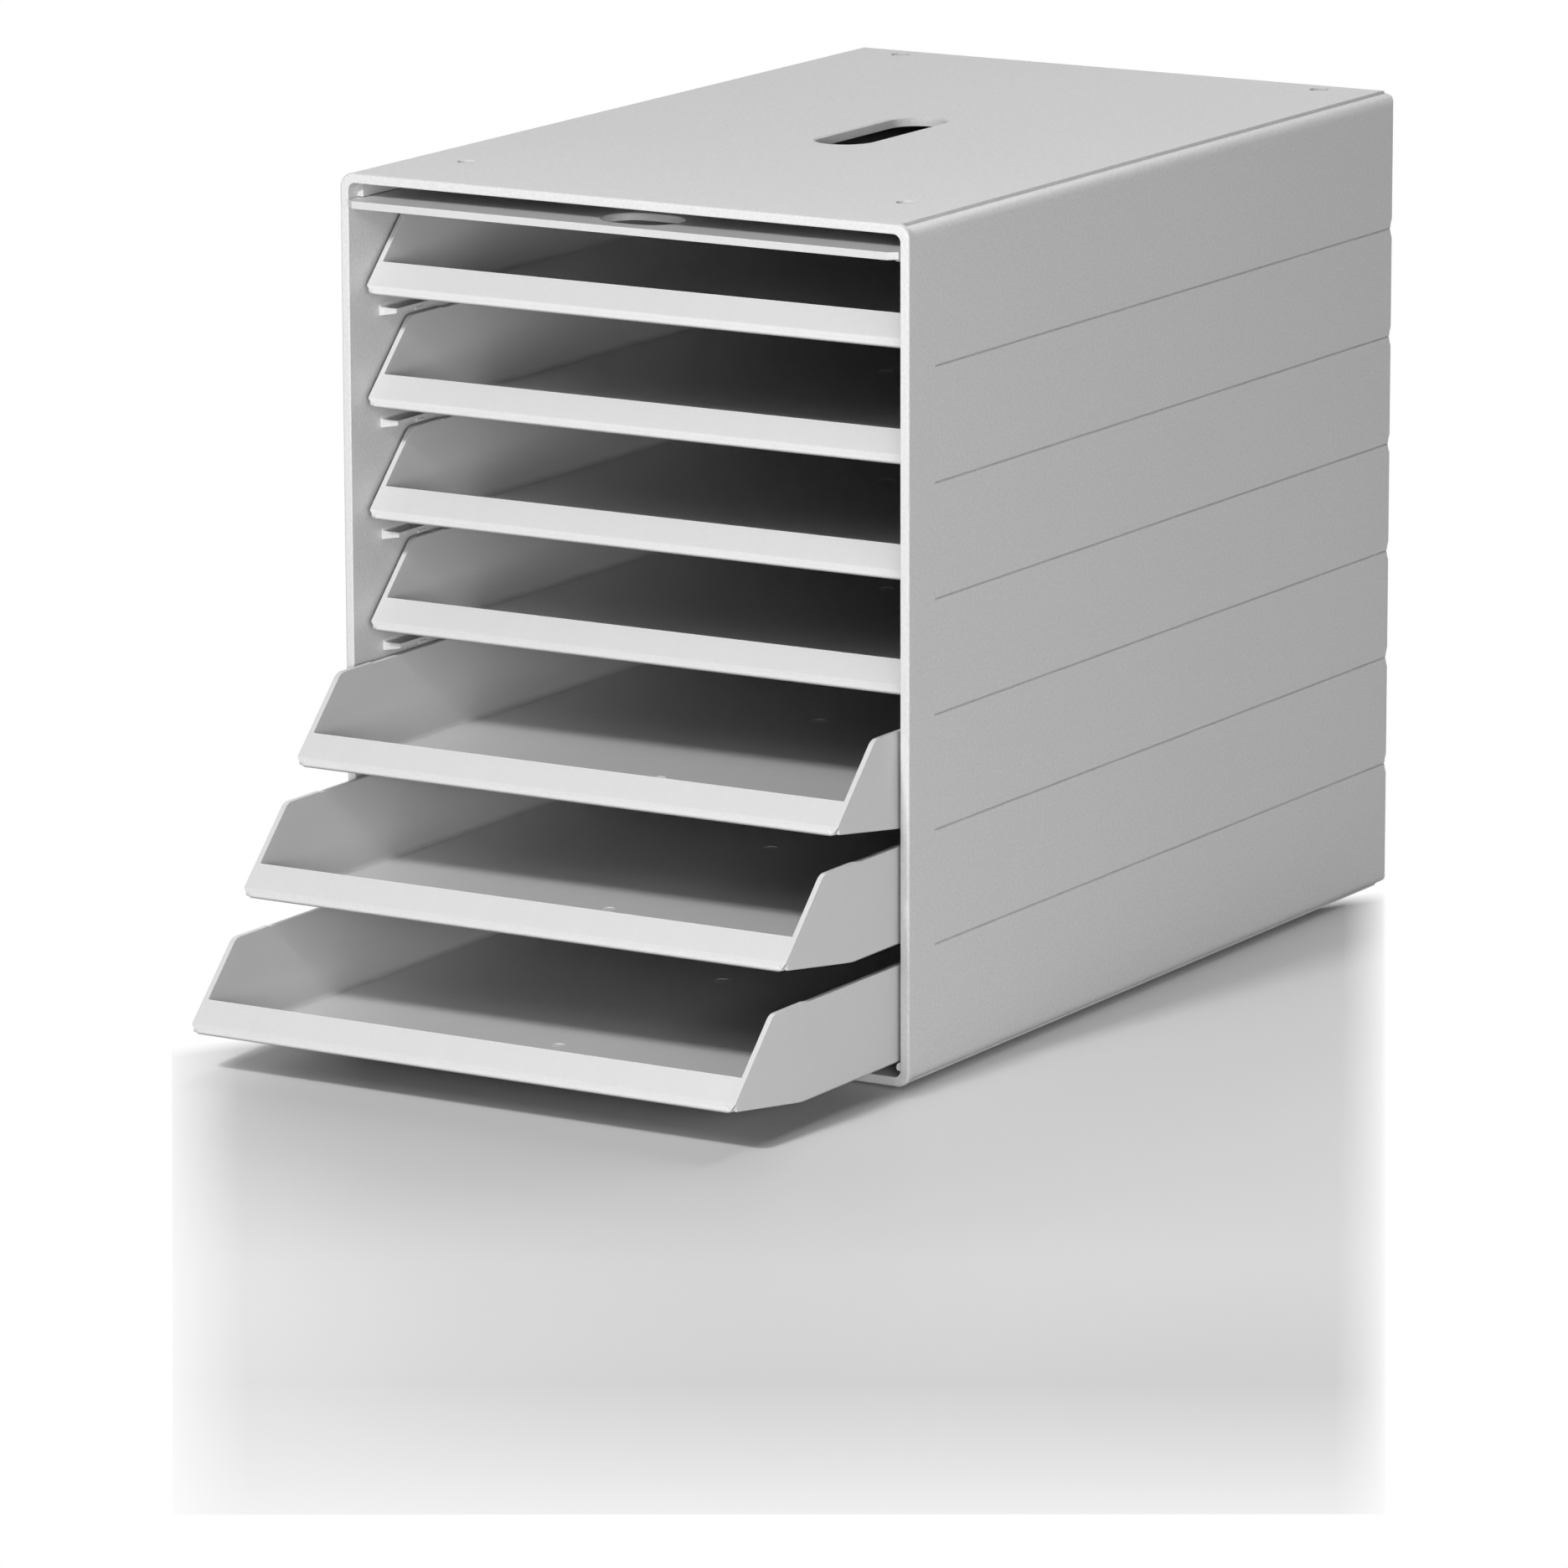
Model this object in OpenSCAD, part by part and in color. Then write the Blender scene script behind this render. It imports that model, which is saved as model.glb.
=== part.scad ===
// Desktop file drawer: a moulded housing with a closed back, seven open-fronted trays that slide on
// ledges along its side walls, and a front flap that is stowed flat under the roof.
// X points to the right, Y to the back and Z up. The origin is the centre of the housing's footprint,
// on the plane that the feet stand on. The trays stand as far out as the photograph shows them.

/* [Tray] */
// Width of a tray over its side walls
tray_w = 239; // [225:1:270]
// Depth of a tray from its front lip to its back wall
tray_d = 366; // [340:1:400]
// Height of a tray's side walls at the front
tray_h = 37.9; // [32:0.1:50]
// How much lower the rim is behind its front part
rim_drop = 0.4; // [0.4:0.1:1.5]
// Length of the higher front part of the rim, from the lip
rim_front = 50; // [40:1:80]
// Radius of the rim's front corner
rim_r = 6; // [3:0.5:8]
// Thickness of a tray's side and back walls
tray_wall = 2.2; // [1.6:0.1:3]
// Thickness of a tray's floor
tray_floor = 2.2; // [1.6:0.1:3]
// Height of the lip above the tray's underside
lip_rise = 7.1; // [6:0.1:11]
// Length of the sloping front of the floor
ramp_len = 50; // [35:0.5:60]
// Lean of the front strip and of the walls' front edges, from upright
lean = 44.5; // [35:0.5:50]
// Height of the straight edge under the front strip
lip_edge = 2.8; // [1.5:0.1:4]
// Height of the front strip above the lip
strip_h = 11.1; // [8:0.1:14]
// Thickness of the front strip
strip_t = 2.2; // [1.6:0.1:3]
// Radius of the bead along the lip
bead_r = 1.3; // [0.8:0.1:1.6]
// Radius between a tray's floor and its side walls, inside
tray_fillet = 2; // [1:0.5:5]
// Radius of a tray's long lower edges, outside
tray_edge_r = 1.2; // [0.6:0.1:2]
// Radius of a tray's back corners, outside
tray_back_r = 4; // [3:0.5:6]

/* [Tray positions] */
// How far the third tray from the bottom is pulled out
tray_5_out = 51.6; // [0:0.1:200]
// How far the second tray from the bottom is pulled out
tray_6_out = 88.8; // [0:0.1:200]
// How far the lowest tray is pulled out
tray_7_out = 124.8; // [0:0.1:200]

/* [Housing] */
// Thickness of the housing's walls
wall = 3.8; // [2.8:0.1:4.5]
// Space between a tray and the housing's side wall
side_gap = 1.7; // [1.5:0.1:3]
// How far the closed trays stand back from the front edge
setback = 9.2; // [6:0.1:14]
// Space behind the closed trays
back_gap = 6; // [3:0.1:15]
// Space between the housing's floor and the lowest tray, without its extra drop
floor_gap = 7; // [5:0.1:9]
// How much lower the lowest tray hangs than the even spacing of the others
lowest_drop = 1.75; // [0:0.05:2]
// Space between the stowed flap and the roof
roof_gap = 6.25; // [4:0.05:10]
// Radius of the front frame's corners, outside
frame_r = 5.5; // [5:0.1:7]
// Radius of the housing's long corners, inside
inner_r = 3; // [2:0.1:4]
// Radius of the front frame's outer edge
front_round = 1; // [0.5:0.1:1.4]
// Radius of the front frame's inner edge
mouth_round = 0.5; // [0.3:0.1:0.8]
// Radius of the housing's back edges
back_round = 3; // [2:0.1:4]
// How far the roof and base panels stand proud of the side panels' rounded edges
panel_step = 1.3; // [0.8:0.1:1.8]
// Radius of the side panels' long edges, beside that step
panel_r = 4.7; // [3.5:0.1:5.5]
// Distance from the front edge to where the step starts
step_start = 2.5; // [2:0.1:6]

/* [Side grooves] */
// Width of a groove
groove_w = 1; // [0.6:0.1:1.6]
// Depth of a groove
groove_depth = 0.7; // [0.4:0.05:1.2]
// Distance from the front edge to where the grooves start
groove_start = 19.2; // [10:0.1:40]
// How far the grooves lie below the undersides of the trays beside them, on average
groove_drop = 1.8; // [1:0.05:4]
// How much further apart the grooves are than the trays
groove_spread = 0.35; // [0:0.05:0.5]
// Radius of the hollow where a groove turns the back corner
hollow_r = 7.6; // [6:0.1:10]
// Depth of that hollow
hollow_depth = 1.3; // [0.8:0.1:1.8]

/* [Ledges] */
// How far a ledge stands out from the wall
ledge_w = 7.9; // [5:0.1:9]
// Thickness of a ledge at its tip
ledge_tip = 1.8; // [1.2:0.1:2.4]
// Thickness of a ledge at the wall
ledge_root = 3.3; // [2.6:0.1:4.5]
// Radius where a ledge's top meets the wall
ledge_fillet = 1.2; // [0.6:0.1:1.4]
// Distance from the front edge to the ledges
ledge_start = 20.5; // [15:0.5:35]
// Clearance between a sliding piece and what it slides on
slide_gap = 0.3; // [0.2:0.05:0.5]
// Space between a tray's rim and the ledge above it
rim_gap = 2; // [0.4:0.05:3]
// Distance from a ledge's front end to its catch slot
catch_start = 30; // [20:1:60]
// Length of a catch slot
catch_len = 6; // [3:0.5:10]
// Depth of a catch slot, from the ledge's tip
catch_depth = 2.4; // [1:0.1:3]
// Distance from a ledge's front end to its small bump
bump_start = 13; // [8:1:20]
// Length of the bump
bump_len = 5; // [3:0.5:7]
// Radius of the bump
bump_r = 0.6; // [0.4:0.1:0.8]

/* [Front flap] */
// Thickness of the flap
flap_t = 2.95; // [2.6:0.05:4]
// Space between the flap's edge and the housing's side wall
flap_side_gap = 0.3; // [0.2:0.05:0.6]
// How far the stowed flap stands proud of the front edge
flap_proud = 3; // [0:0.1:6]
// Space between the hinged-down flap and the housing's floor
flap_foot_gap = 1; // [0.5:0.1:3]
// Cut of the flap's front corners, sideways
flap_cut_x = 3.2; // [2:0.1:8]
// Cut of the flap's front corners, front to back
flap_cut_y = 2.6; // [2:0.1:8]
// Radius of the finger hole's ends
finger_r = 12; // [8:0.5:14]
// Length of the finger hole, end to end
finger_len = 33; // [30:1:60]
// Distance from the flap's front edge to the middle of the finger hole
finger_in = 20; // [17:0.5:40]
// Small chamfer round the finger hole
finger_chamfer = 0.4; // [0.2:0.1:0.8]
// Radius of the flap's hinge pins
pin_r = 1.2; // [0.8:0.1:1.3]
// How far a hinge pin stands out from the flap's edge
pin_len = 1.1; // [0.7:0.05:1.2]
// Distance from the flap's back edge to its hinge pins
pin_in = 3; // [2:0.1:6]
// Thickness of the rails that carry the flap
rail_t = 1; // [0.8:0.1:1.6]
// Width of the rails that carry the flap
rail_w = 3.6; // [2.5:0.1:5]
// Width of the ribs that hold the flap down
rib_w = 2.6; // [2:0.1:4]
// Distance from the front edge to those ribs
rib_start = 6.5; // [5:0.5:15]
// How far the rails and ribs reach past the stowed flap
rail_past = 10; // [5:1:30]
// Distance from the front edge to the tracks in which the hinge pins run
track_start = 8; // [6:0.5:12]
// Depth of those tracks
track_depth = 1.2; // [1.1:0.1:1.6]
// Radius of the nubs that catch the flap's lower corners
nub_r = 1.75; // [1.2:0.05:2]
// How far a nub stands out from the wall
nub_out = 1.6; // [0.8:0.1:1.8]
// Height of the nubs above the housing's underside
nub_z = 7.9; // [6:0.05:10]
// Length of a nub, front to back
nub_len = 6; // [3:0.5:10]

/* [Roof and feet] */
// Length of the roof slot, end to end
slot_len = 78.8; // [60:0.1:110]
// Radius of the roof slot's ends
slot_r = 11.9; // [8:0.1:14]
// Chamfer round the roof slot
slot_chamfer = 0.6; // [0.2:0.1:1]
// Distance of the feet from the housing's sides
foot_side = 28; // [15:1:45]
// Distance from the front edge to the front feet
foot_front = 46; // [30:1:70]
// Distance from the back to the back feet
foot_back = 12.5; // [10:0.5:40]
// Radius of a foot
foot_r = 3.7; // [3:0.1:6]
// How far a foot stands out below the housing
foot_out = 1.2; // [0.8:0.1:3]
// Depth of the recess that a foot is pressed into
foot_in = 0.8; // [0.5:0.1:1.5]
// Radius of a foot's lower edge
foot_edge = 0.5; // [0.3:0.1:0.7]
// Clearance round a foot in its recess
foot_clear = 0.2; // [0.1:0.05:0.5]

/* [Hidden] */
$fn = 96;

// Overrun of every cut
over = 1;
// Shallow round marks on a tray's floor, where the mould was filled
gate_r = 2.6;
gate_depth = 0.3;
gate_front = 68.6;
gate_back = 187;
// The chamfered lower front corners of a tray
tip_cut_x = 2;
tip_cut_z = 2.8;
// The bead stops short of the tray's sides, with tapered ends
bead_in = 2;
bead_taper = 1.2;
bead_out = 0.5;

tray_count = 7;
tray_pitch = tray_h + rim_gap + ledge_root + slide_gap;
tray_outs = [0, 0, 0, 0, tray_5_out, tray_6_out, tray_7_out];

inner_w = tray_w + 2 * side_gap;
housing_w = inner_w + 2 * wall;
housing_d = setback + tray_d + back_gap + wall;
front_y = -housing_d / 2;
back_y = housing_d / 2;
inner_back_y = back_y - wall;

// Heights from the housing's underside
lowest_z = wall + floor_gap;
flap_z = lowest_z + (tray_count - 1) * tray_pitch + tray_h + rim_gap + rail_t + slide_gap;
roof_z = flap_z + flap_t + roof_gap;
housing_h = roof_z + wall;
inner_h = roof_z - wall;

foot_x = housing_w / 2 - foot_side;

flap_w = inner_w - 2 * flap_side_gap;
flap_y = front_y - flap_proud;
pin_z = flap_z + flap_t / 2;
flap_len = pin_z - wall - flap_foot_gap + pin_in;
rail_end_y = flap_y + flap_len + rail_past;

// Underside of tray number k, counted from the top
function tray_z(k) = lowest_z + (tray_count - k) * tray_pitch - (k == tray_count ? lowest_drop : 0);

// Height of groove number k, counted from the top
function groove_z(k) = tray_z(k) - groove_drop + (tray_count / 2 - k) * groove_spread;

// A point on the slanting front line of a tray, at height z
function front_at(z) = [(z - lip_rise - lip_edge) * tan(lean), z];

// Shapes that stand in the YZ, XZ and XY planes
module along_x(x0, x1) {
    translate([x0, 0, 0]) rotate([90, 0, 90]) linear_extrude(x1 - x0) children();
}
module along_y(y0, y1) {
    translate([0, y1, 0]) rotate([90, 0, 0]) linear_extrude(y1 - y0) children();
}
module along_z(z0, z1) {
    translate([0, 0, z0]) linear_extrude(z1 - z0) children();
}
module both_sides() {
    children();
    mirror([1, 0, 0]) children();
}

// A rectangle with four round corners, centred
module rounded_rect(w, h, r) {
    square([w - 2 * r, h], center = true);
    square([w, h - 2 * r], center = true);
    for (sx = [-1, 1], sy = [-1, 1]) translate([sx * (w / 2 - r), sy * (h / 2 - r)]) circle(r);
}

// A rectangle from (a0, b0) to (a1, b1) whose two corners at a1 are round
module round_ended(a0, a1, b0, b1, r) {
    translate([a0, b0]) square([a1 - a0 - r, b1 - b0]);
    translate([a0, b0 + r]) square([a1 - a0, b1 - b0 - 2 * r]);
    translate([a1 - r, b0 + r]) circle(r);
    translate([a1 - r, b1 - r]) circle(r);
}

// What a round of radius r takes off a square corner
module corner_waste(r) {
    difference() {
        square(r + over);
        circle(r);
    }
}

// A long hole with round ends along Y, from z0 to z1, that widens by flare towards z1
module long_hole(len, r, z0, z1, flare = 0) {
    straight = len / 2 - r;
    for (s = [-1, 1]) translate([0, s * straight, z0]) cylinder(h = z1 - z0, r1 = r, r2 = r + flare);
    along_y(-straight, straight) polygon([[-r, z0], [r, z0], [r + flare, z1], [-r - flare, z1]]);
}

// The waste along the front edge of a rounded rectangle: side is 1 for an outer edge, -1 for an inner one
module front_edge_waste(w, h, rc, r, side) {
    translate([0, front_y + r, housing_h / 2]) rotate([90, 0, 0])
        for (turn = [0, 1, 2, 3]) {
            half = (turn % 2 == 0 ? w : h) / 2;
            run = (turn % 2 == 0 ? h : w) - 2 * rc;
            rotate([0, 0, 90 * turn]) {
                translate([half - side * r, 0, 0]) rotate([90, 0, 0])
                    linear_extrude(run, center = true) scale([side, 1]) corner_waste(r);
                translate([half - rc, run / 2, 0]) rotate_extrude(angle = 90)
                    translate([rc - side * r, 0]) scale([side, 1]) corner_waste(r);
            }
        }
}

module housing_block() {
    intersection() {
        along_y(front_y, back_y) translate([0, housing_h / 2]) rounded_rect(housing_w, housing_h, frame_r);
        along_x(-housing_w / 2, housing_w / 2) round_ended(front_y, back_y, 0, housing_h, back_round);
        along_z(0, housing_h) rotate(90)
            round_ended(front_y, back_y, -housing_w / 2, housing_w / 2, back_round);
    }
}

module housing_cavity() {
    along_y(front_y - over, inner_back_y) translate([0, wall + inner_h / 2])
        rounded_rect(inner_w, inner_h, inner_r);
}

// The step between the roof or base panel and the side panels, along the four long corners
module panel_steps() {
    for (up = [0, 1]) translate([0, 0, up * housing_h]) mirror([0, 0, 1 - up]) both_sides()
        along_y(front_y + step_start, back_y + over)
            translate([housing_w / 2 - panel_r, -panel_step - panel_r]) difference() {
                square([panel_r + over, panel_r + panel_step + over]);
                circle(panel_r);
            }
}

// V grooves along the side panels, each with a shallow hollow where it turns the back corner
module side_grooves() {
    // Half the width at the end of the overrun, so that a groove has its own width at the wall's surface
    half_out = groove_w / 2 * (groove_depth + over) / groove_depth;
    corner_depth = (sqrt(2) - 1) * back_round + hollow_depth;
    for (k = [1 : tray_count - 1]) translate([0, 0, groove_z(k)]) both_sides() {
        along_y(front_y + groove_start, back_y + over)
            polygon([[housing_w / 2 - groove_depth, 0], [housing_w / 2 + over, half_out],
                [housing_w / 2 + over, -half_out]]);
        translate([housing_w / 2, back_y, 0]) rotate([0, 0, 45]) translate([hollow_r - corner_depth, 0, 0])
            rotate([90, 0, 0]) cylinder(h = 4 * back_round, r = hollow_r, center = true);
    }
}

module ledges() {
    for (k = [1 : tray_count]) both_sides()
        along_y(front_y + ledge_start, inner_back_y) translate([inner_w / 2, tray_z(k) - slide_gap]) {
            polygon([[-ledge_w, 0], [wall / 2, 0], [wall / 2, -ledge_root], [0, -ledge_root],
                [-ledge_w, -ledge_tip]]);
            difference() {
                translate([-ledge_fillet, 0]) square([ledge_fillet + wall / 2, ledge_fillet]);
                translate([-ledge_fillet, ledge_fillet]) circle(ledge_fillet);
            }
        }
}

module ledge_bumps() {
    for (k = [1 : tray_count]) both_sides()
        translate([inner_w / 2 - ledge_w, front_y + ledge_start + bump_start, tray_z(k) - slide_gap - ledge_tip])
            rotate([-90, 0, 0]) cylinder(h = bump_len, r = bump_r);
}

module ledge_catches() {
    for (k = [1 : tray_count - 1]) both_sides()
        translate([inner_w / 2 - ledge_w - over, front_y + ledge_start + catch_start,
            tray_z(k) - slide_gap - ledge_root])
            cube([catch_depth + over, catch_len, ledge_root + over]);
}

// Rails under the flap's edges and ribs above them
module flap_guides() {
    both_sides() {
        along_y(front_y + rib_start / 2, rail_end_y)
            translate([inner_w / 2 - rail_w, flap_z - slide_gap - rail_t]) square([rail_w + wall / 2, rail_t]);
        along_y(front_y + rib_start, rail_end_y)
            translate([inner_w / 2 - rib_w, flap_z + flap_t + slide_gap])
                square([rib_w + wall / 2, roof_gap - slide_gap + wall / 2]);
    }
}

// Tracks for the flap's hinge pins, whose closed front ends keep the flap in
module pin_tracks() {
    half_high = pin_r + slide_gap / 2;
    both_sides() along_y(front_y + track_start, rail_end_y)
        translate([inner_w / 2 - over, pin_z - half_high]) square([track_depth + over, 2 * half_high]);
}

module corner_nubs() {
    both_sides() along_y(front_y, front_y + nub_len)
        translate([inner_w / 2 + nub_r - nub_out, nub_z]) circle(nub_r);
}

// One child at each foot's place
module at_feet() {
    for (sx = [-1, 1], y = [front_y + foot_front, back_y - foot_back]) translate([sx * foot_x, y, 0])
        children();
}

module housing() {
    color([0.84, 0.84, 0.84]) translate([0, 0, foot_out]) difference() {
        union() {
            difference() {
                housing_block();
                housing_cavity();
            }
            ledges();
            ledge_bumps();
            flap_guides();
            corner_nubs();
        }
        panel_steps();
        side_grooves();
        ledge_catches();
        pin_tracks();
        front_edge_waste(housing_w, housing_h, frame_r, front_round, 1);
        front_edge_waste(inner_w, inner_h, inner_r, mouth_round, -1);
        long_hole(slot_len, slot_r, roof_z - over, housing_h + over);
        long_hole(slot_len, slot_r, housing_h - slot_chamfer, housing_h, slot_chamfer);
        at_feet() translate([0, 0, -over]) cylinder(h = foot_in + over, r = foot_r + foot_clear);
        at_feet() translate([0, 0, housing_h - foot_in])
            cylinder(h = foot_in + over, r = foot_r + foot_clear);
    }
}

// Side view of a tray's outer form: sloping front underneath, leaning front edge, round rim corner
module tray_side() {
    corner = front_at(tray_h);
    turn = rim_r * tan((90 - lean) / 2);
    low = corner - turn * [sin(lean), cos(lean)];
    polygon([[ramp_len, 0], [tray_d, 0], [tray_d, tray_h - rim_drop], [rim_front, tray_h - rim_drop],
        [rim_front, tray_h], corner + [turn, 0], low, front_at(lip_rise + lip_edge), [0, lip_rise]]);
    translate(corner + [turn, -rim_r]) circle(rim_r);
}

// Side view of a tray's inside: the front strip has an even thickness and a square top edge
module tray_inside() {
    into = [cos(lean), -sin(lean)];
    slope = atan(lip_rise / ramp_len);
    strip_top = front_at(lip_rise + strip_h);
    // Where the inner face of the strip meets the inner face of the sloping floor
    ramp_top = tray_floor / cos(slope) + lip_rise;
    inner_front = front_at(lip_rise + lip_edge) + [strip_t / cos(lean), 0];
    meet_y = (inner_front[0] + (ramp_top - inner_front[1]) * tan(lean))
        / (1 + tan(slope) * tan(lean));
    ramp_end = (ramp_top - tray_floor) / tan(slope);
    polygon([strip_top - over * into, strip_top + strip_t * into, [meet_y, ramp_top - meet_y * tan(slope)],
        [ramp_end, tray_floor], [tray_d - tray_wall, tray_floor], [tray_d - tray_wall, tray_h + over],
        [-over, tray_h + over]]);
}

module tray_block() {
    intersection() {
        along_x(-tray_w / 2, tray_w / 2) tray_side();
        along_y(-over, tray_d + over) rotate(-90)
            round_ended(-tray_h, 0, -tray_w / 2, tray_w / 2, tray_edge_r);
        along_z(0, tray_h) rotate(90) round_ended(-over, tray_d, -tray_w / 2, tray_w / 2, tray_back_r);
    }
}

module tray_hollow() {
    half = tray_w / 2 - tray_wall;
    intersection() {
        along_x(-half, half) tray_inside();
        along_y(-2 * over, tray_d) rotate(-90)
            round_ended(-tray_h - 2 * over, -tray_floor, -half, half, tray_fillet);
        along_z(0, tray_h + 2 * over) rotate(90)
            round_ended(-2 * over, tray_d - tray_wall, -half, half, tray_back_r - tray_wall);
    }
}

// The bead along the lip, tapered at both ends
module lip_bead() {
    run = tray_w / 2 - bead_in;
    translate([0, bead_r - bead_out, lip_rise + bead_out]) both_sides() rotate([0, 90, 0]) {
        cylinder(h = run - bead_taper, r = bead_r);
        translate([0, 0, run - bead_taper]) cylinder(h = bead_taper, r1 = bead_r, r2 = bead_r - bead_out);
    }
}

module tip_waste() {
    both_sides() along_y(-over, bead_r) polygon([[tray_w / 2 - tip_cut_x, lip_rise - over],
        [tray_w / 2 - tip_cut_x, lip_rise], [tray_w / 2, lip_rise + tip_cut_z],
        [tray_w / 2 + over, lip_rise + tip_cut_z], [tray_w / 2 + over, lip_rise - over]]);
}

// Tray number k from the top, at its place
module tray(k) {
    color([0.88, 0.88, 0.88])
        translate([0, front_y + setback - tray_outs[k - 1], foot_out + tray_z(k)]) difference() {
            union() {
                difference() {
                    tray_block();
                    tray_hollow();
                    tip_waste();
                }
                lip_bead();
            }
            for (y = [gate_front, gate_back]) translate([0, y, tray_floor - gate_depth])
                cylinder(h = gate_depth + over, r = gate_r);
        }
}

module front_flap() {
    half = flap_w / 2;
    color([0.86, 0.86, 0.86]) translate([0, flap_y, foot_out + flap_z]) {
        difference() {
            along_z(0, flap_t) polygon([[flap_cut_x - half, 0], [half - flap_cut_x, 0], [half, flap_cut_y],
                [half, flap_len], [-half, flap_len], [-half, flap_cut_y]]);
            translate([0, finger_in, 0]) rotate(90) {
                long_hole(finger_len, finger_r, -over, flap_t + over);
                long_hole(finger_len, finger_r, flap_t - finger_chamfer, flap_t, finger_chamfer);
            }
        }
        both_sides() translate([half - pin_len, flap_len - pin_in, flap_t / 2]) rotate([0, 90, 0])
            cylinder(h = 2 * pin_len, r = pin_r);
    }
}

// A round rubber foot, pressed into its recess, with a rounded lower edge
module foot(sx, y) {
    color([0.35, 0.35, 0.36]) translate([sx * foot_x, y, 0]) rotate_extrude() {
        square([foot_r - foot_edge, foot_out + foot_in]);
        translate([0, foot_edge]) square([foot_r, foot_out + foot_in - foot_edge]);
        intersection() {
            translate([foot_r - foot_edge, foot_edge]) circle(foot_edge);
            square([foot_r, foot_out]);
        }
    }
}
module foot_front_left() { foot(-1, front_y + foot_front); }
module foot_front_right() { foot(1, front_y + foot_front); }
module foot_back_left() { foot(-1, back_y - foot_back); }
module foot_back_right() { foot(1, back_y - foot_back); }

housing();
front_flap();
tray(1);  // tray_1
tray(2);  // tray_2
tray(3);  // tray_3
tray(4);  // tray_4
tray(5);  // tray_5
tray(6);  // tray_6
tray(7);  // tray_7
foot_front_left();
foot_front_right();
foot_back_left();
foot_back_right();
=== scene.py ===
# %% [markdown]
# # A desktop file drawer in moulded plastic
# The object is a light grey drawer box: one matt housing, seven satin trays that slide on ledges,
# and a thin flap that is stowed under the roof. The solids come from the CAD model. This lesson
# gives them their finish, softens the edges that a mould never leaves sharp, and lights them like a
# product shot.

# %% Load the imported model
import bpy
from math import cos, pi, radians, sin
from mathutils import Euler, Matrix, Vector


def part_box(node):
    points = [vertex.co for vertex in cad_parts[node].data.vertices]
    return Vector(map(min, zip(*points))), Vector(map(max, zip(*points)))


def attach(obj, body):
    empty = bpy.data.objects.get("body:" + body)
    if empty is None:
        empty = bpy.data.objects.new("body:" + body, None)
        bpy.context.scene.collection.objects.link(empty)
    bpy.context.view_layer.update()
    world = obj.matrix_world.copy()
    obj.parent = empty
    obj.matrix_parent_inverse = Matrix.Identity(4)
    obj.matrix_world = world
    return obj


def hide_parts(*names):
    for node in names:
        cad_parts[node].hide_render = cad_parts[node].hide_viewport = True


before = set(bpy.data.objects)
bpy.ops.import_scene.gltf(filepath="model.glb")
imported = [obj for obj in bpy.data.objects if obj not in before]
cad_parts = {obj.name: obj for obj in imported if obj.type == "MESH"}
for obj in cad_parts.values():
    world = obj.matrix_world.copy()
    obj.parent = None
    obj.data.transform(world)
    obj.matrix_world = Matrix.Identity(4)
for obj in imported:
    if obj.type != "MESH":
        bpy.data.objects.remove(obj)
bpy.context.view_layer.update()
MM = 0.001
scene = bpy.context.scene
scene.view_settings.view_transform = "Standard"

# %% [markdown]
# ## Camera
# The photograph was taken from the right and a little above, with a long lens. Its place was found
# by fitting the housing's edges, so the numbers are the result of a measurement. A very small roll
# is part of that fit. The shift stays at zero, because the other views keep it.

# %% Place the camera
CAMERA_PLACE = Vector((1.87907, -3.18897, 0.89595))
CAMERA_YAW = 31.107
CAMERA_DOWN = 12.629
CAMERA_ROLL = -0.165
camera_data = bpy.data.cameras.new("camera")
camera_data.lens = 220.45
camera_data.sensor_width = 36
camera_data.clip_start = 0.1
camera_data.clip_end = 100
camera = bpy.data.objects.new("camera", camera_data)
scene.collection.objects.link(camera)
level = Euler((radians(90 - CAMERA_DOWN), 0, radians(CAMERA_YAW))).to_matrix()
camera.location = CAMERA_PLACE
camera.rotation_euler = (level @ Matrix.Rotation(radians(CAMERA_ROLL), 3, "Z")).to_euler()
scene.camera = camera
print("camera at", [round(v, 3) for v in camera.location], "lens", camera_data.lens)

# %% [markdown]
# ## Light
# One small lamp hangs in front and throws the clear shadow line that crosses every tray. Large soft
# lamps fill the rest: one in front, two low ones on the right, which lift the side panel and reach
# into the trays, one behind the roof, and one at the back left, which the photograph's view does
# not show but the left side and the back need, kept out of reflections. Each lamp is set by the
# light that it brings to the object, so its power follows from its distance. The world lights
# nothing, but it is white where the camera or a reflection meets it.

# %% Hang the lamps
LAMP_TARGET = Vector((0, -0.1, 0.15))


def hang_lamp(name, place, size, share):
    """An area lamp at a place, turned to the object, whose power gives that share of full light."""
    data = bpy.data.lights.new(name, "AREA")
    data.shape = "RECTANGLE"
    data.size, data.size_y = size
    away = place - LAMP_TARGET
    data.energy = share * pi * pi * away.length_squared
    lamp = bpy.data.objects.new(name, data)
    scene.collection.objects.link(lamp)
    lamp.location = place
    lamp.rotation_euler = (-away).to_track_quat("-Z", "Y").to_euler()
    print(name, "power", round(data.energy, 2))
    return lamp


def around(azimuth, height, distance):
    """A place round the target: azimuth 0 is in front, 90 is on the right."""
    a, h = radians(azimuth), radians(height)
    return LAMP_TARGET + distance * Vector((sin(a) * cos(h), -cos(a) * cos(h), sin(h)))


hang_lamp("key_lamp", Vector((-0.03, -1.25, 0.925)), (0.11, 0.11), 0.61)
hang_lamp("front_lamp", around(0, 34, 2.2), (0.8, 0.8), 0.22)
hang_lamp("right_lamp", around(38, 6, 2.2), (0.8, 0.5), 0.36)
hang_lamp("side_lamp", around(62, 8, 2.2), (0.8, 0.7), 0.22)
hang_lamp("roof_lamp", around(180, 50, 2.4), (1.6, 1.2), 0.49)
left_lamp = hang_lamp("left_lamp", around(-125, 6, 2.4), (1.4, 1.0), 0.32)
left_lamp.visible_glossy = False

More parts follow.
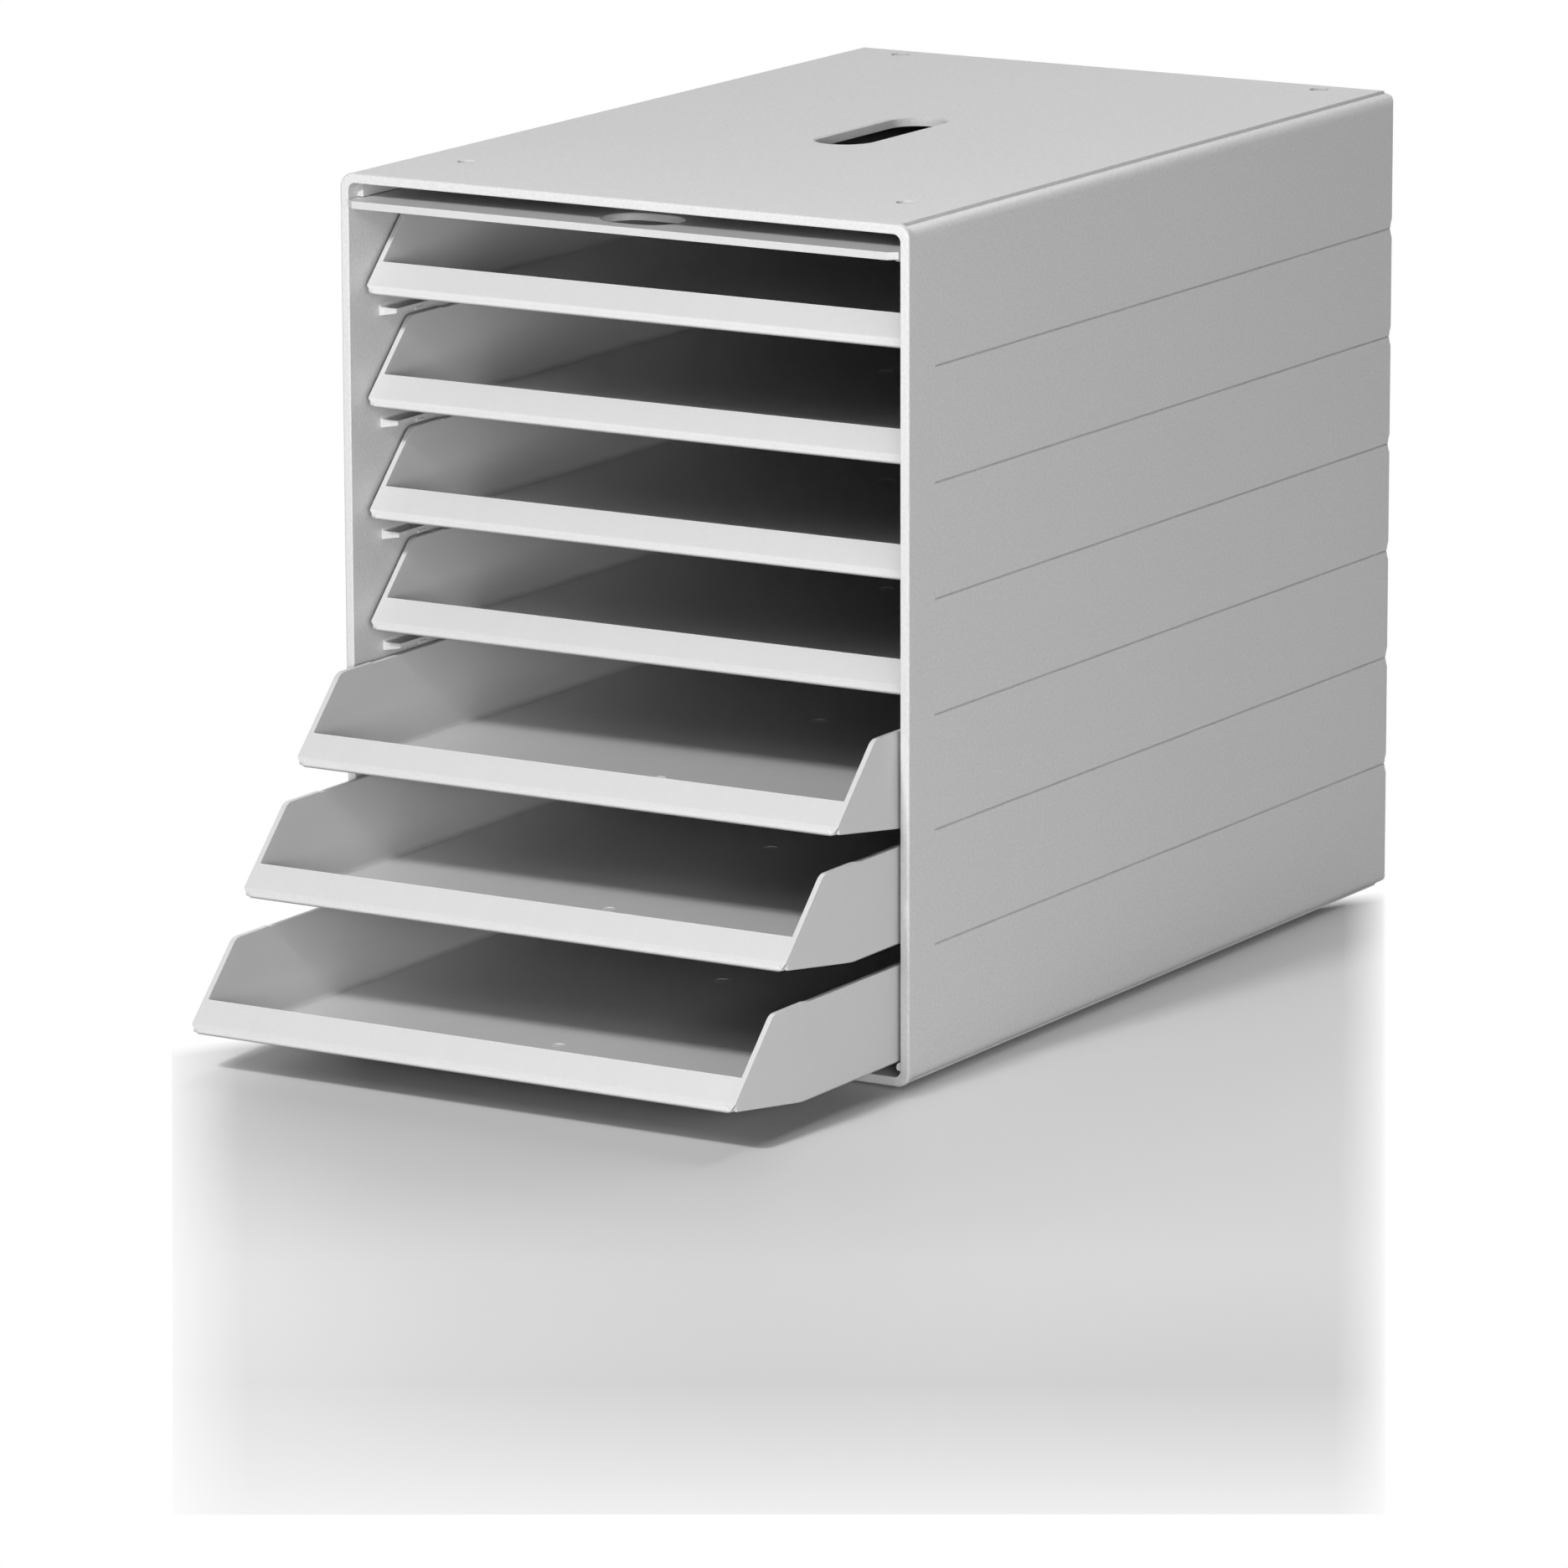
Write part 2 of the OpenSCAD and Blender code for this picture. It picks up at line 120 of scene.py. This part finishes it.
# %% Paint the world white for the camera and for reflections
world = bpy.data.worlds.new("studio")
scene.world = world
world.use_nodes = True
tree = world.node_tree
tree.nodes.clear()
paths = tree.nodes.new("ShaderNodeLightPath")
seen = tree.nodes.new("ShaderNodeMath")
seen.operation = "ADD"
mirrored = tree.nodes.new("ShaderNodeMath")
mirrored.operation = "ADD"
mirrored.use_clamp = True
white = tree.nodes.new("ShaderNodeBackground")
white.inputs["Color"].default_value = (1, 1, 1, 1)
world_out = tree.nodes.new("ShaderNodeOutputWorld")
tree.links.new(paths.outputs["Is Camera Ray"], seen.inputs[0])
tree.links.new(paths.outputs["Is Glossy Ray"], seen.inputs[1])
tree.links.new(seen.outputs[0], mirrored.inputs[0])
tree.links.new(paths.outputs["Is Transmission Ray"], mirrored.inputs[1])
tree.links.new(mirrored.outputs[0], white.inputs["Strength"])
tree.links.new(white.outputs[0], world_out.inputs["Surface"])
print("world nodes:", len(tree.nodes))

# %% [markdown]
# ## Shader groups
# Effects that several finishes share are built once. The grain of a spark-eroded mould is a field
# of small even bumps, with a slow change of gloss over it. Flow lines are the faint streaks that
# the plastic leaves as it runs from the gates through a tray. Face tone is painted light and shade:
# it blends four greys by the way a face looks, darker on undersides and, on trays and flap, lighter
# on tops.

# %% Helpers for node groups
def new_group(name, inputs, outputs):
    """A shader group with named sockets; returns it with its input and output nodes."""
    group = bpy.data.node_groups.new(name, "ShaderNodeTree")
    for label, kind, value in inputs:
        socket = group.interface.new_socket(label, in_out="INPUT", socket_type=kind)
        if value is not None:
            socket.default_value = value
    for label, kind in outputs:
        group.interface.new_socket(label, in_out="OUTPUT", socket_type=kind)
    return group, group.nodes.new("NodeGroupInput"), group.nodes.new("NodeGroupOutput")


def noise(nodes, scale, detail, rough):
    """A noise texture with its three main values set."""
    node = nodes.new("ShaderNodeTexNoise")
    node.inputs["Scale"].default_value = scale
    node.inputs["Detail"].default_value = detail
    node.inputs["Roughness"].default_value = rough
    return node


def math_node(nodes, operation, value=None):
    """A math node; value, if given, is its second number."""
    node = nodes.new("ShaderNodeMath")
    node.operation = operation
    if value is not None:
        node.inputs[1].default_value = value
    return node


def remap(nodes, low, high, to_low, to_high):
    """A map range node with fixed ends."""
    node = nodes.new("ShaderNodeMapRange")
    ends = (("From Min", low), ("From Max", high), ("To Min", to_low), ("To Max", to_high))
    for label, value in ends:
        node.inputs[label].default_value = value
    return node


def scaled_sum(nodes, factor):
    """A math node that takes its first input times factor, plus its third input."""
    return math_node(nodes, "MULTIPLY_ADD", factor)


def link_grey(nodes, links, value, socket):
    """Makes a grey of one value and feeds it to a colour socket."""
    colour = nodes.new("ShaderNodeCombineColor")
    for channel in ("Red", "Green", "Blue"):
        links.new(value, colour.inputs[channel])
    links.new(colour.outputs["Color"], socket)


# %% Grain of the mould
def build_grain_group():
    """Small even bumps, and a slow cloud that changes the gloss."""
    group, given, result = new_group("mould_grain",
        [("Vector", "NodeSocketVector", None), ("Cells per metre", "NodeSocketFloat", 1100.0)],
        [(label, "NodeSocketFloat") for label in ("Height", "Speckle", "Cloud")])
    nodes, links = group.nodes, group.links
    fine = noise(nodes, 1100, 2, 0.6)
    cloud = noise(nodes, 9, 1, 0.5)
    for node in (fine, cloud):
        links.new(given.outputs["Vector"], node.inputs["Vector"])
    links.new(given.outputs["Cells per metre"], fine.inputs["Scale"])
    speckle = remap(nodes, 0.3, 0.7, 0.0, 1.0)
    links.new(fine.outputs["Fac"], speckle.inputs["Value"])
    links.new(fine.outputs["Fac"], result.inputs["Height"])
    links.new(speckle.outputs[0], result.inputs["Speckle"])
    links.new(cloud.outputs["Fac"], result.inputs["Cloud"])
    return group


grain_group = build_grain_group()
print("group:", grain_group.name, len(grain_group.nodes), "nodes")


# %% Flow lines
def build_flow_group():
    """Streaks along Y, from noise that is stretched lengthwise."""
    group, given, result = new_group("flow_lines",
        [("Vector", "NodeSocketVector", None)],
        [("Streak", "NodeSocketFloat")])
    nodes, links = group.nodes, group.links
    stretch = nodes.new("ShaderNodeMapping")
    stretch.inputs["Scale"].default_value = (1.0, 0.04, 0.3)
    streak = noise(nodes, 120, 2, 0.5)
    links.new(given.outputs["Vector"], stretch.inputs["Vector"])
    links.new(stretch.outputs["Vector"], streak.inputs["Vector"])
    links.new(streak.outputs["Fac"], result.inputs["Streak"])
    return group


flow_group = build_flow_group()
print("group:", flow_group.name, len(flow_group.nodes), "nodes")


# %% Painted light and shade by the way a face looks
LOOKS = ("Underside", "Wall", "Slope", "Top")
# Where the upward part of a face's normal passes from one look to the next
LOOK_STEPS = (("Wall", -0.9, -0.2), ("Slope", 0.2, 0.5), ("Top", 0.8, 0.95))


def build_painted_light_group():
    """Painted light and shade: a grey each for undersides, walls, slopes and tops, blended."""
    group, given, result = new_group("painted_light_by_facing",
        [(look, "NodeSocketFloat", 0.5) for look in LOOKS],
        [("Grey", "NodeSocketFloat")])
    nodes, links = group.nodes, group.links
    face = nodes.new("ShaderNodeNewGeometry")
    split = nodes.new("ShaderNodeSeparateXYZ")
    links.new(face.outputs["True Normal"], split.inputs["Vector"])
    grey = given.outputs["Underside"]
    for look, low, high in LOOK_STEPS:
        step = remap(nodes, low, high, 0.0, 1.0)
        blend = nodes.new("ShaderNodeMix")
        blend.data_type = "FLOAT"
        links.new(split.outputs["Z"], step.inputs["Value"])
        links.new(step.outputs[0], blend.inputs["Factor"])
        links.new(grey, blend.inputs["A"])
        links.new(given.outputs[look], blend.inputs["B"])
        grey = blend.outputs["Result"]
    links.new(grey, result.inputs["Grey"])
    return group


painted_light_group = build_painted_light_group()
print("group:", painted_light_group.name, len(painted_light_group.nodes), "nodes")


# %% [markdown]
# ## Finishes
# All the plastic is one light grey polystyrene. The housing is matt, because its mould was eroded
# to a fine grain, and the trays and the flap are satin, because theirs were polished. So the
# finishes share their parts and differ in gloss, grain and streaks. The colour is nearly even, with
# a touch of change. The real plastic has one grey. Here each finish takes four, one for each way
# that a face can look, which paints light and shade into the colour, because plain light left the
# picture with less contrast than the photograph. The floors of the trays are painted lighter, and
# their undersides, which the photograph hides, painted darker, so that less light bounces into the
# depths.
# With four equal greys the plastic is plain.

# %% A plastic finish
PLASTIC_IOR = 1.46
CLOUD_REACH = 0.01


def use_group(nodes, group):
    """Places a shader group in a material."""
    node = nodes.new("ShaderNodeGroup")
    node.node_tree = group
    return node


def plastic(name, greys, gloss, cells, bump, speckle, streaks):
    """Moulded plastic: greys are those of undersides, walls, slopes and tops, which paint light and
    shade by the way a face looks; gloss is a pair of roughness values, bump is in metres, speckle
    and streaks are the reach of each in the grey."""
    material = bpy.data.materials.new(name)
    material.use_nodes = True
    nodes, links = material.node_tree.nodes, material.node_tree.links
    shader = nodes["Principled BSDF"]
    shader.inputs["IOR"].default_value = PLASTIC_IOR
    place = nodes.new("ShaderNodeTexCoord")
    grain, flow = (use_group(nodes, g) for g in (grain_group, flow_group))
    grain.inputs["Cells per metre"].default_value = cells
    for node in (grain, flow):
        links.new(place.outputs["Object"], node.inputs["Vector"])
    # Colour: painted light and shade by the way a face looks, then a cloud, a speckle and streaks of
    # a few hundredths around that grey
    face = use_group(nodes, painted_light_group)
    for look, grey in zip(LOOKS, greys):
        face.inputs[look].default_value = grey - (CLOUD_REACH + speckle + streaks) / 2
    tone = face.outputs["Grey"]
    effects = ((grain.outputs["Cloud"], CLOUD_REACH), (grain.outputs["Speckle"], speckle),
               (flow.outputs["Streak"], streaks))
    for effect, reach in effects:
        added = scaled_sum(nodes, reach)
        links.new(effect, added.inputs[0])
        links.new(tone, added.inputs[2])
        tone = added.outputs[0]
    link_grey(nodes, links, tone, shader.inputs["Base Color"])
    # Gloss: a slow change over the surface
    rough = remap(nodes, 0.1, 0.9, gloss[0], gloss[1])
    links.new(grain.outputs["Cloud"], rough.inputs["Value"])
    links.new(rough.outputs[0], shader.inputs["Roughness"])
    # Relief: the grain
    relief = nodes.new("ShaderNodeBump")
    relief.inputs["Distance"].default_value = bump
    relief.inputs["Strength"].default_value = 1.0
    links.new(grain.outputs["Height"], relief.inputs["Height"])
    links.new(relief.outputs["Normal"], shader.inputs["Normal"])
    print("finish:", name, len(nodes), "nodes")
    return material


# %% The three plastic finishes
# The housing's underside grey is lower than the rest: painted shade.
housing_plastic = plastic(
    "housing_plastic", greys=(0.45, 0.55, 0.55, 0.55), gloss=(0.46, 0.54),
    cells=800, bump=0.12 * MM, speckle=0.07, streaks=0.004)
# The trays' undersides are painted dark and their floors light: painted shade and painted light.
tray_plastic = plastic(
    "tray_plastic", greys=(0.22, 0.55, 0.535, 0.67), gloss=(0.27, 0.33),
    cells=700, bump=0.004 * MM, speckle=0.015, streaks=0.02)
# The flap's underside is painted darker and its top lighter: painted shade and painted light.
flap_plastic = plastic(
    "flap_plastic", greys=(0.4, 0.5, 0.52, 0.6), gloss=(0.33, 0.4),
    cells=700, bump=0.008 * MM, speckle=0.02, streaks=0.008)


# %% Rubber of the feet
def rubber(name):
    """Dark soft rubber with a dusty bloom."""
    material = bpy.data.materials.new(name)
    material.use_nodes = True
    nodes, links = material.node_tree.nodes, material.node_tree.links
    shader = nodes["Principled BSDF"]
    place = nodes.new("ShaderNodeTexCoord")
    grain = use_group(nodes, grain_group)
    grain.inputs["Cells per metre"].default_value = 2500
    bloom = nodes.new("ShaderNodeValToRGB")
    bloom.color_ramp.elements[0].color = (0.03, 0.03, 0.032, 1)
    bloom.color_ramp.elements[1].color = (0.09, 0.09, 0.092, 1)
    rough = remap(nodes, 0.3, 0.7, 0.6, 0.8)
    relief = nodes.new("ShaderNodeBump")
    relief.inputs["Distance"].default_value = 0.05 * MM
    links.new(place.outputs["Object"], grain.inputs["Vector"])
    links.new(grain.outputs["Speckle"], bloom.inputs["Fac"])
    links.new(bloom.outputs["Color"], shader.inputs["Base Color"])
    links.new(grain.outputs["Cloud"], rough.inputs["Value"])
    links.new(rough.outputs[0], shader.inputs["Roughness"])
    links.new(grain.outputs["Height"], relief.inputs["Height"])
    links.new(relief.outputs["Normal"], shader.inputs["Normal"])
    print("finish:", name, len(nodes), "nodes")
    return material


foot_rubber = rubber("foot_rubber")


# %% Give each CAD node its finish
def finish_of(node_name):
    """The finish of a CAD node, by its name."""
    if node_name.startswith("tray"):
        return tray_plastic
    if node_name.startswith("foot"):
        return foot_rubber
    return flap_plastic if node_name == "front_flap" else housing_plastic


for node_name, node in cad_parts.items():
    node.data.materials.clear()
    node.data.materials.append(finish_of(node_name))
print("finished nodes:", len(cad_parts))

# %% [markdown]
# ## Floor
# The table is a pale sheet with a little gloss, so the box stands on a soft reflection of itself.
# The photograph shows it as a lit field in front of the object that fades into white, and the sheet
# does the same: outside the field it is white for the camera. The field's edges are lines on the
# floor, each with the width of its fade, a power that bends the fade, and the part of the sheet
# that shows right at the edge. The sheet's grey is painted darker at the near edge, where the key
# lamp is close: painted shade that evens out that lamp's stronger light there.

# %% The edges of the field
FLOOR_WIDTH = 12
# Painted shade: the sheet's grey at the near edge, darker where the key lamp is close, and further
# in
FLOOR_GREY_AND_NEAR_SHADE = (0.43, 0.65)
NEAR_SHADE_WIDTH = 300 * MM
FIELD_EDGES = (
    # Two points on the floor in mm, then fade in mm, power and share; the field lies to the right
    # of the way from the first point to the second
    ("left", (185, -762), (-115, -328), 25, 0.6, 0.1),
    ("near", (528, -579), (195, -776), 150, 1.0, 0.3),
    ("right", (184, 78), (520, -565), 17, 0.5, 0.0),
    ("far", (-150, -274), (132, 197), 15, 1.0, 0.0),
)


def signed_distance(nodes, links, place, first, second):
    """A node that measures from the line through two floor points, and its reading on that line.

    The distance is in metres and grows on the line's right side."""
    along = Vector((second[0] - first[0], second[1] - first[1], 0)).normalized()
    inward = Vector((along.y, -along.x, 0))
    distance = nodes.new("ShaderNodeVectorMath")
    distance.operation = "DOT_PRODUCT"
    distance.inputs[1].default_value = inward
    links.new(place.outputs["Object"], distance.inputs[0])
    return distance, (inward.x * first[0] + inward.y * first[1]) * MM


def field_side(nodes, links, distance, start, edge):
    """How much of the sheet one edge of the field leaves: 0 outside that edge, 1 well inside."""
    label, fade, power, share = edge
    ramp = remap(nodes, start, start + fade * MM, share, 1.0)
    bend = math_node(nodes, "POWER", power)
    bend.label = label
    cut = math_node(nodes, "GREATER_THAN", start)
    side = math_node(nodes, "MULTIPLY")
    links.new(distance.outputs["Value"], ramp.inputs["Value"])
    links.new(distance.outputs["Value"], cut.inputs[0])
    links.new(ramp.outputs[0], bend.inputs[0])
    links.new(bend.outputs[0], side.inputs[0])
    links.new(cut.outputs[0], side.inputs[1])
    return side


print("field edges:", ", ".join(edge[0] for edge in FIELD_EDGES))


# %% Lay the floor
def floor_material(name):
    """A pale satin sheet inside the field, white outside it."""
    material = bpy.data.materials.new(name)
    material.use_nodes = True
    nodes, links = material.node_tree.nodes, material.node_tree.links
    sheet = nodes["Principled BSDF"]
    sheet.inputs["Roughness"].default_value = 0.4
    sheet.inputs["Specular IOR Level"].default_value = 0.2
    surface = nodes["Material Output"]
    place = nodes.new("ShaderNodeTexCoord")
    inside = None
    for label, first, second, fade, power, share in FIELD_EDGES:
        distance, start = signed_distance(nodes, links, place, first, second)
        side = field_side(nodes, links, distance, start, (label, fade, power, share))
        if label == "near":
            # Painted shade: the grey rises from the near edge inwards, darker where the key lamp is
            # close
            tone = remap(nodes, start, start + NEAR_SHADE_WIDTH, *FLOOR_GREY_AND_NEAR_SHADE)
            links.new(distance.outputs["Value"], tone.inputs["Value"])
            link_grey(nodes, links, tone.outputs[0], sheet.inputs["Base Color"])
        if inside is None:
            inside = side
        else:
            both = math_node(nodes, "MULTIPLY")
            links.new(inside.outputs[0], both.inputs[0])
            links.new(side.outputs[0], both.inputs[1])
            inside = both
    glow = nodes.new("ShaderNodeEmission")
    glow.inputs["Color"].default_value = (1, 1, 1, 1)
    glow.inputs["Strength"].default_value = 1.0
    paths = nodes.new("ShaderNodeLightPath")
    outside = math_node(nodes, "SUBTRACT")
    outside.inputs[0].default_value = 1.0
    seen = math_node(nodes, "MULTIPLY")
    field = nodes.new("ShaderNodeMixShader")
    links.new(inside.outputs[0], outside.inputs[1])
    links.new(outside.outputs[0], seen.inputs[0])
    links.new(paths.outputs["Is Camera Ray"], seen.inputs[1])
    links.new(seen.outputs[0], field.inputs["Fac"])
    links.new(sheet.outputs[0], field.inputs[1])
    links.new(glow.outputs[0], field.inputs[2])
    links.new(field.outputs[0], surface.inputs["Surface"])
    print("finish:", name, len(nodes), "nodes")
    return material


bpy.ops.object.select_all(action="DESELECT")
bpy.ops.mesh.primitive_plane_add(size=FLOOR_WIDTH)
floor = bpy.context.object
floor.name = "floor"
floor.data.materials.append(floor_material("table_sheet"))
print("floor:", round(floor.dimensions.x, 2), "m wide")

# %% [markdown]
# ## Trays
# A moulded rim is never sharp: it has a small round that catches the light as a thin line. The CAD
# tray is sharp there, so one tray is copied, its triangles are merged into faces, and its sharp
# edges are bevelled by a third of a millimetre. The gate marks stay as they are, because a bevel is
# as large as they are. The other six trays are copies, each moved to its own place.

# %% Helpers for softened copies
MERGE_REACH = 0.002 * MM
FLAT_ANGLE = radians(0.5)
SHARP_ANGLE = radians(35)
SMOOTH_ANGLE = radians(28)


def copy_node(node_name, piece_name):
    """A copy of a CAD node with a mesh of its own, merged and freed of its stored normals."""
    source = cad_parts[node_name]
    piece = source.copy()
    piece.data = source.data.copy()
    piece.name = piece.data.name = piece_name
    scene.collection.objects.link(piece)
    bpy.ops.object.select_all(action="DESELECT")
    piece.select_set(True)
    bpy.context.view_layer.objects.active = piece
    bpy.ops.mesh.customdata_custom_splitnormals_clear()
    bpy.ops.object.mode_set(mode="EDIT")
    bpy.ops.mesh.select_all(action="SELECT")
    bpy.ops.mesh.remove_doubles(threshold=MERGE_REACH)
    bpy.ops.mesh.dissolve_limited(angle_limit=FLAT_ANGLE)
    bpy.ops.mesh.select_all(action="DESELECT")
    bpy.ops.object.mode_set(mode="OBJECT")
    return piece


def bevel_sharp(piece, width, keep):
    """Bevels the sharp edges for which keep(middle) is true.

    Weighted normals then keep the large faces flat in the light, so only the rounds shade off."""
    bpy.ops.object.mode_set(mode="EDIT")
    bpy.ops.mesh.select_mode(type="EDGE")
    bpy.ops.mesh.edges_select_sharp(sharpness=SHARP_ANGLE)
    bpy.ops.object.mode_set(mode="OBJECT")
    mesh = piece.data
    for edge in mesh.edges:
        if edge.select:
            a, b = (mesh.vertices[i].co for i in edge.vertices)
            edge.select = keep((a + b) / 2)
    bpy.ops.object.mode_set(mode="EDIT")
    bpy.ops.mesh.bevel(offset=width, offset_type="OFFSET", segments=2, profile=0.5,
                       clamp_overlap=False)
    bpy.ops.mesh.select_all(action="DESELECT")
    bpy.ops.mesh.select_mode(type="VERT")
    bpy.ops.object.mode_set(mode="OBJECT")
    bpy.ops.object.shade_smooth_by_angle(angle=SMOOTH_ANGLE)
    bpy.ops.object.modifier_add(type="WEIGHTED_NORMAL")
    flat_faces = piece.modifiers[-1]
    flat_faces.keep_sharp = True
    flat_faces.weight = 80
    bpy.ops.object.modifier_apply(modifier=flat_faces.name)
    print(piece.name, "vertices", len(mesh.vertices), "faces", len(mesh.polygons))


# %% Soften one tray
TRAY_ROUND = 0.35 * MM
GATES_FROM_FRONT = (68.6 * MM, 187 * MM)
GATE_HEIGHT = 2 * MM
GATE_REACH = 6 * MM
first_low, first_high = (Vector(corner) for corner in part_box("tray_1"))
middle_x = (first_low.x + first_high.x) / 2
gate_places = [Vector((middle_x, first_low.y + along, first_low.z + GATE_HEIGHT))
               for along in GATES_FROM_FRONT]


def away_from_gates(point):
    """True for a place that is no part of a gate mark."""
    return all((point - gate).length > GATE_REACH for gate in gate_places)


tray_form = copy_node("tray_1", "tray_body_1")
bevel_sharp(tray_form, TRAY_ROUND, away_from_gates)

# %% Copy it to the other places
TRAY_COUNT = 7
for number in range(1, TRAY_COUNT + 1):
    body = "tray_%d" % number
    piece = tray_form
    if number > 1:
        piece = tray_form.copy()
        piece.data = tray_form.data.copy()
        piece.name = piece.data.name = "tray_body_%d" % number
        scene.collection.objects.link(piece)
        piece.data.transform(Matrix.Translation(Vector(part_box(body)[0]) - first_low))
    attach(piece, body)
    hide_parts(body)
print("trays in place:", TRAY_COUNT)

# %% [markdown]
# ## Flap
# The flap is a flat board, and in the CAD its edges look sawn. A moulded one has a small round on
# every edge, which shows in the picture as the pale line round the finger hole and along the front.

# %% Soften the flap
FLAP_ROUND = 0.3 * MM
flap_form = copy_node("front_flap", "flap_body")
bevel_sharp(flap_form, FLAP_ROUND, lambda point: True)
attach(flap_form, "front_flap")
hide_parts("front_flap")
